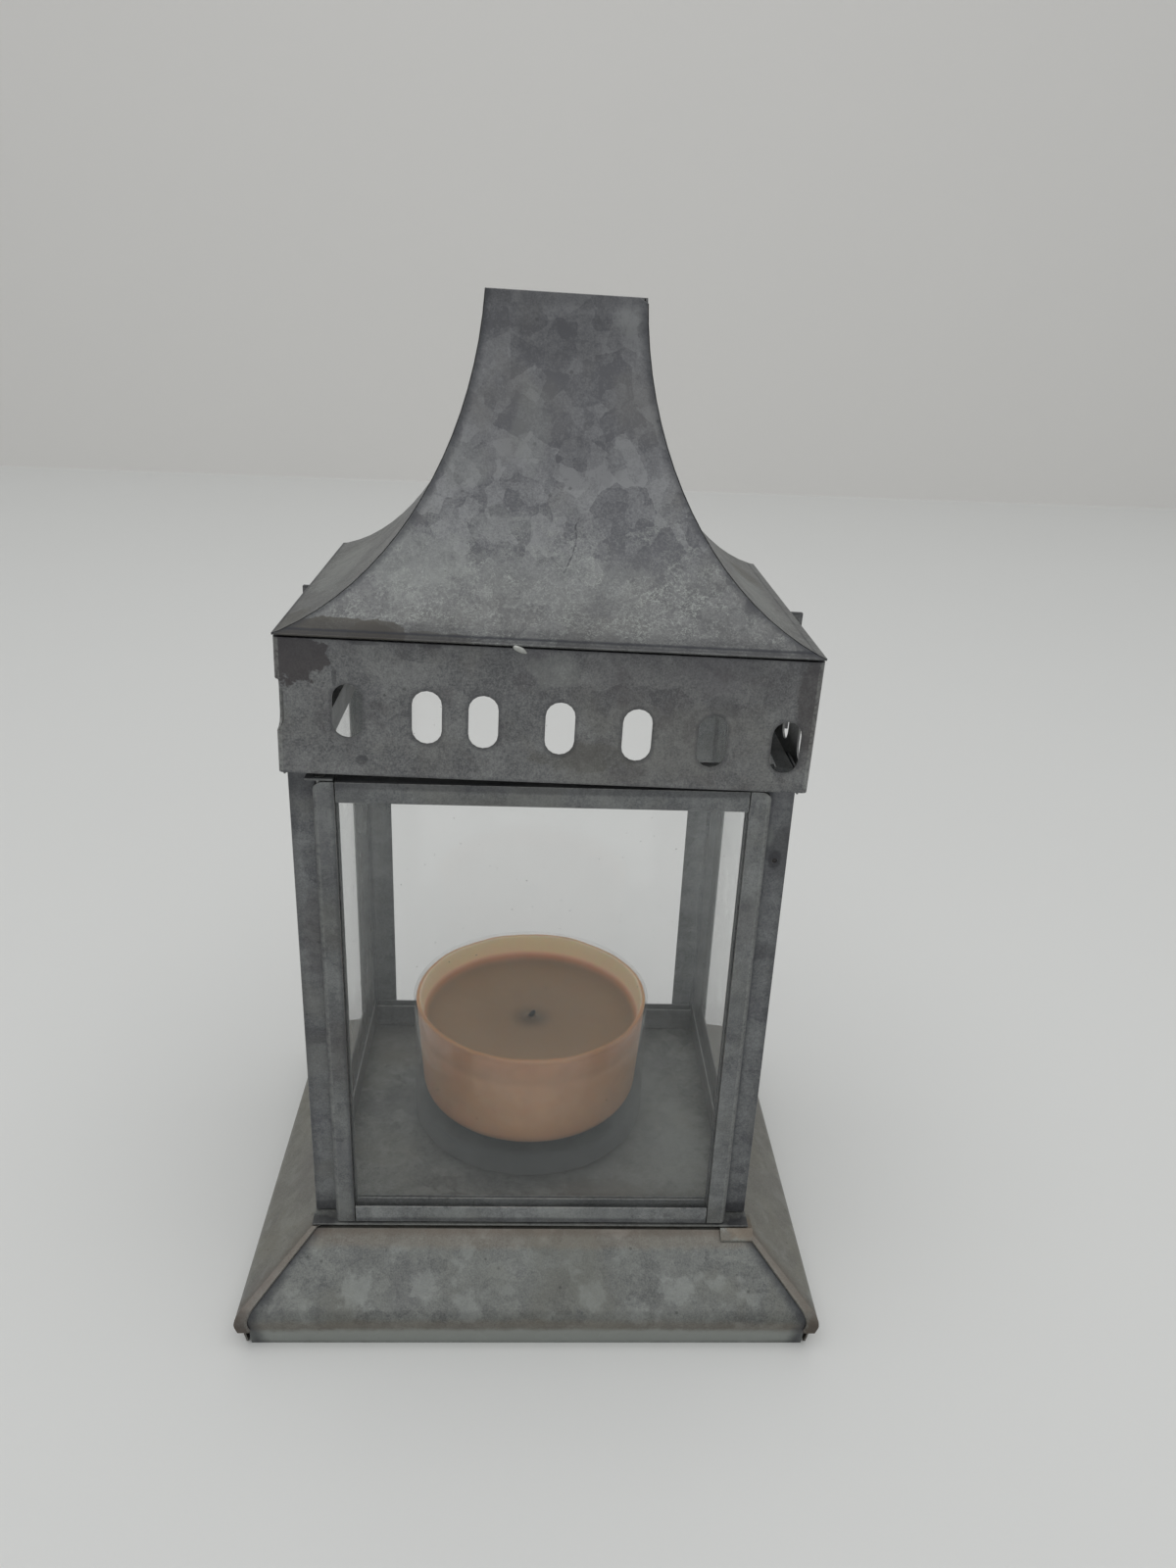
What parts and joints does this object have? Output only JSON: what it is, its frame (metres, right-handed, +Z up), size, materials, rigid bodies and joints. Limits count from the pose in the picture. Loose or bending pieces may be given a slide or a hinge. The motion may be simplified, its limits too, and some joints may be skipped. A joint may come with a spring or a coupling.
{
  "type": "candle lantern",
  "caption": "Small galvanised sheet-metal candle lantern with glass sides, a hinged glass door, a slotted lift-off cap with a tall curved roof, a flared hollow foot and a candle in a glass.",
  "frame": {"origin": "middle of the footprint, on the ground", "axes": "+Z up, front with the door faces -Y, +X to the right seen from the front"},
  "size_m": [0.121, 0.1034, 0.2044],
  "materials": {
    "foot_zinc": "weathered hot-dip zinc, dull, blotchy spangle, slightly green",
    "frame_zinc": "weathered zinc sheet, dull, faint spangle",
    "door_zinc": "weathered zinc sheet, dull, faint spangle",
    "band_zinc": "darkened zinc sheet with a purplish brown heat stain",
    "roof_zinc": "weathered zinc sheet, crystalline spangle, darker to the top",
    "window_glass": "clear 2 mm window glass, a little dusty",
    "pressed_glass": "clear pressed glass with a thick base",
    "wax": "peach candle wax, translucent, burnt down inside the glass",
    "wick": "charred cotton wick",
    "wire_steel": "dull tinned steel"
  },
  "bodies": {
    "body": {"skirt_front": "foot_zinc", "skirt_back": "foot_zinc", "skirt_left": "foot_zinc", "skirt_right": "foot_zinc", "base_deck": "foot_zinc", "post_front_left": "frame_zinc", "post_front_right": "frame_zinc", "post_back_left": "frame_zinc", "post_back_right": "frame_zinc", "bottom_rail_left": "frame_zinc", "bottom_rail_right": "frame_zinc", "bottom_rail_back": "frame_zinc", "top_rail_left": "frame_zinc", "top_rail_right": "frame_zinc", "top_rail_back": "frame_zinc", "pane_left": "window_glass", "pane_right": "window_glass", "pane_back": "window_glass", "front_header": "frame_zinc", "front_sill": "frame_zinc", "top_rim": "frame_zinc", "hinge_ear": "frame_zinc"},
    "door": {"door_stile_left": "door_zinc", "door_stile_right": "door_zinc", "door_rail_top": "door_zinc", "door_rail_bottom": "door_zinc", "door_pane": "window_glass", "hinge_wire": "wire_steel"},
    "cap": {"band_front": "band_zinc", "band_back": "band_zinc", "roof_front": "roof_zinc", "roof_back": "roof_zinc", "roof_left": "roof_zinc", "roof_right": "roof_zinc", "roof_top_plate": "roof_zinc"},
    "candle": {"votive_glass": "pressed_glass", "candle_wax": "wax", "candle_wick": "wick", "wick_sustainer": "wire_steel"}
  },
  "joints": [
    {"name": "door_hinge", "type": "hinge", "parent": "body", "child": "door", "pos_m": [-0.0401, -0.0359, 0.021], "axis": [0, 0, -1], "range_deg": [0, 120]},
    {"name": "cap_lift", "type": "slide", "parent": "body", "child": "cap", "axis": [0, 0, 1], "range_m": [0, 0.12]},
    {"name": "candle_lift", "type": "slide", "parent": "body", "child": "candle", "axis": [0, 0, 1], "range_m": [0, 0.09]}
  ]
}
